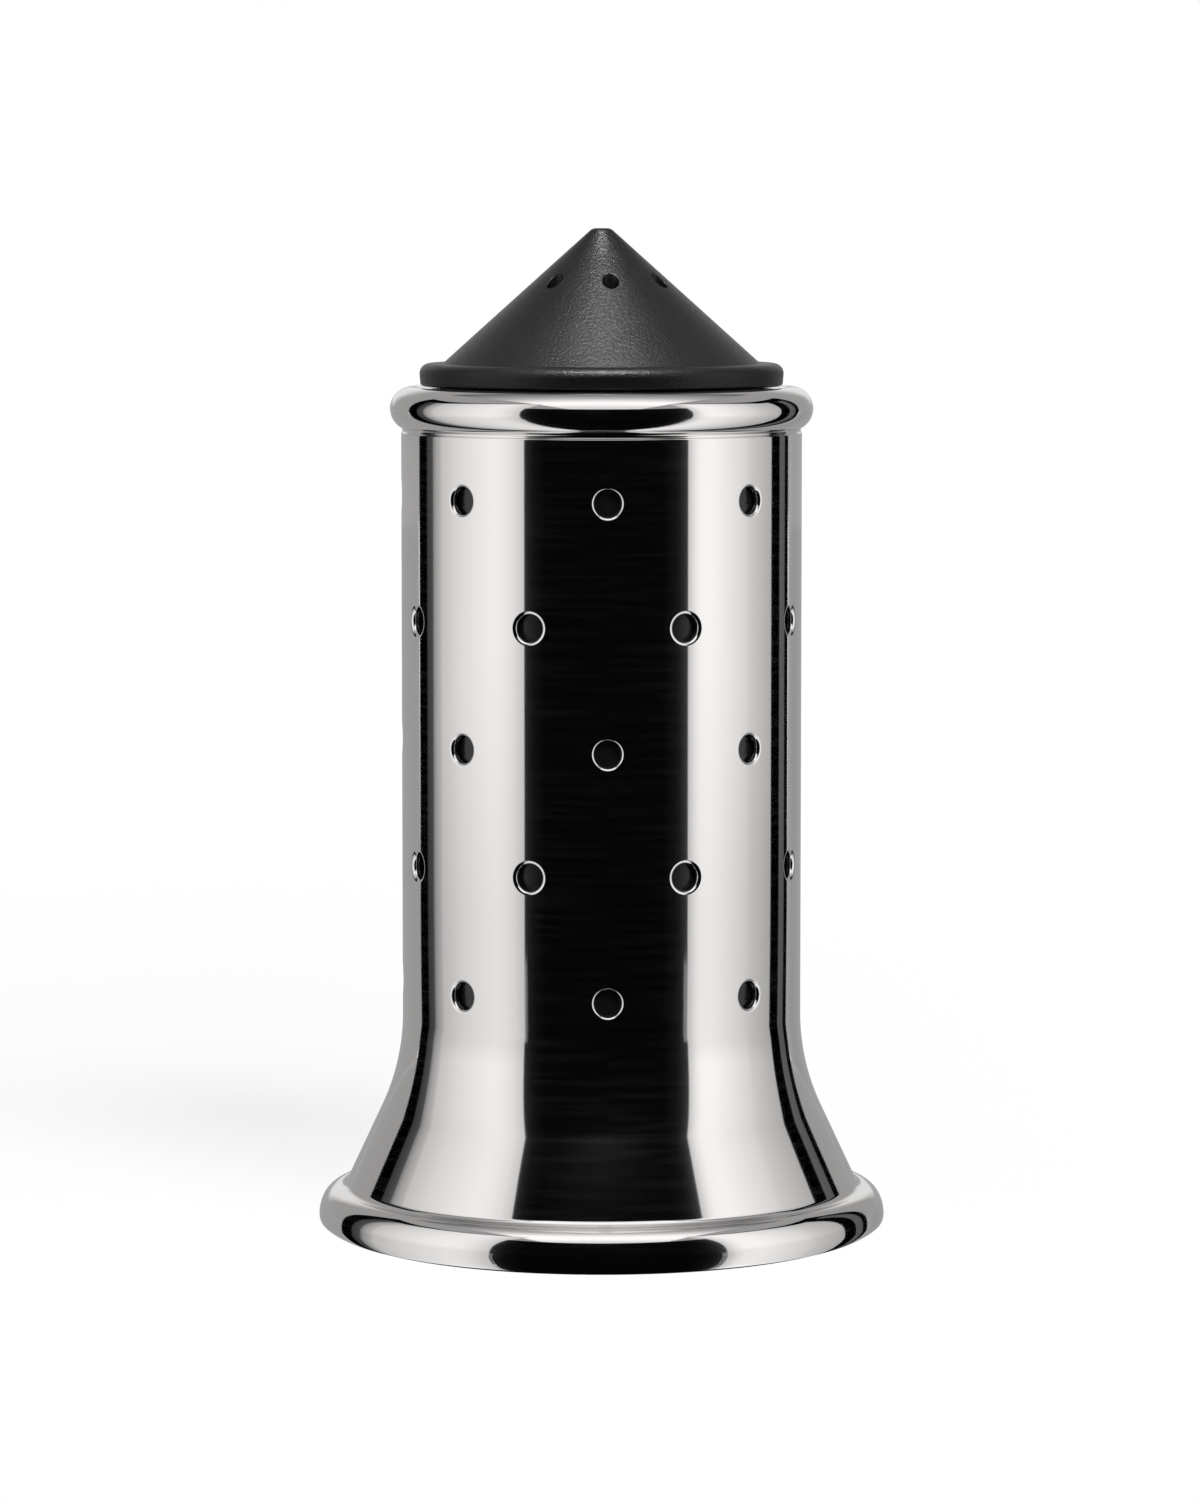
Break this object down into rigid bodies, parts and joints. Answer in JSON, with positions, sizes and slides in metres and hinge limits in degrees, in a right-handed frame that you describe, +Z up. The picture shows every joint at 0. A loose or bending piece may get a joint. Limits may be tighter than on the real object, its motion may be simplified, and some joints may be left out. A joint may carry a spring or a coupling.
{
  "type": "salt shaker",
  "caption": "Table salt shaker: punched, flared steel sleeve with rolled edges round a black cup, closed by a conical screw cap with pouring holes and a snap-in base cover.",
  "frame": {"origin": "centre of the foot, on the surface that the shaker stands on", "axes": "+Z up along the shaker's axis, -Y towards the picture's viewer, +X to the viewer's right"},
  "size_m": [0.054, 0.054, 0.0957],
  "materials": {
    "polished_steel": "mirror-polished stainless steel",
    "cup_plastic": "black, smooth moulded",
    "cap_plastic": "black, fine matt grain",
    "seal_silicone": "translucent white silicone",
    "cover_plastic": "black, fine matt grain"
  },
  "bodies": {
    "body": {"outer_sleeve": "polished_steel", "salt_cup": "cup_plastic", "base_cover": "cover_plastic"},
    "seal": {"cap_seal_ring": "seal_silicone"},
    "cap": {"sprinkler_cap": "cap_plastic"}
  },
  "joints": [
    {"name": "cap_rise", "type": "slide", "parent": "body", "child": "seal", "axis": [0, 0, 1], "range_m": [0, 0.00666]},
    {"name": "cap_turn", "type": "hinge", "parent": "seal", "child": "cap", "pos_m": [0, 0, 0.0808], "axis": [0, 0, 1], "range_deg": [0, 300]}
  ],
  "couplings": [
    {"joint": "cap_turn", "follows": "cap_rise", "rad_per_m": 785.4}
  ]
}
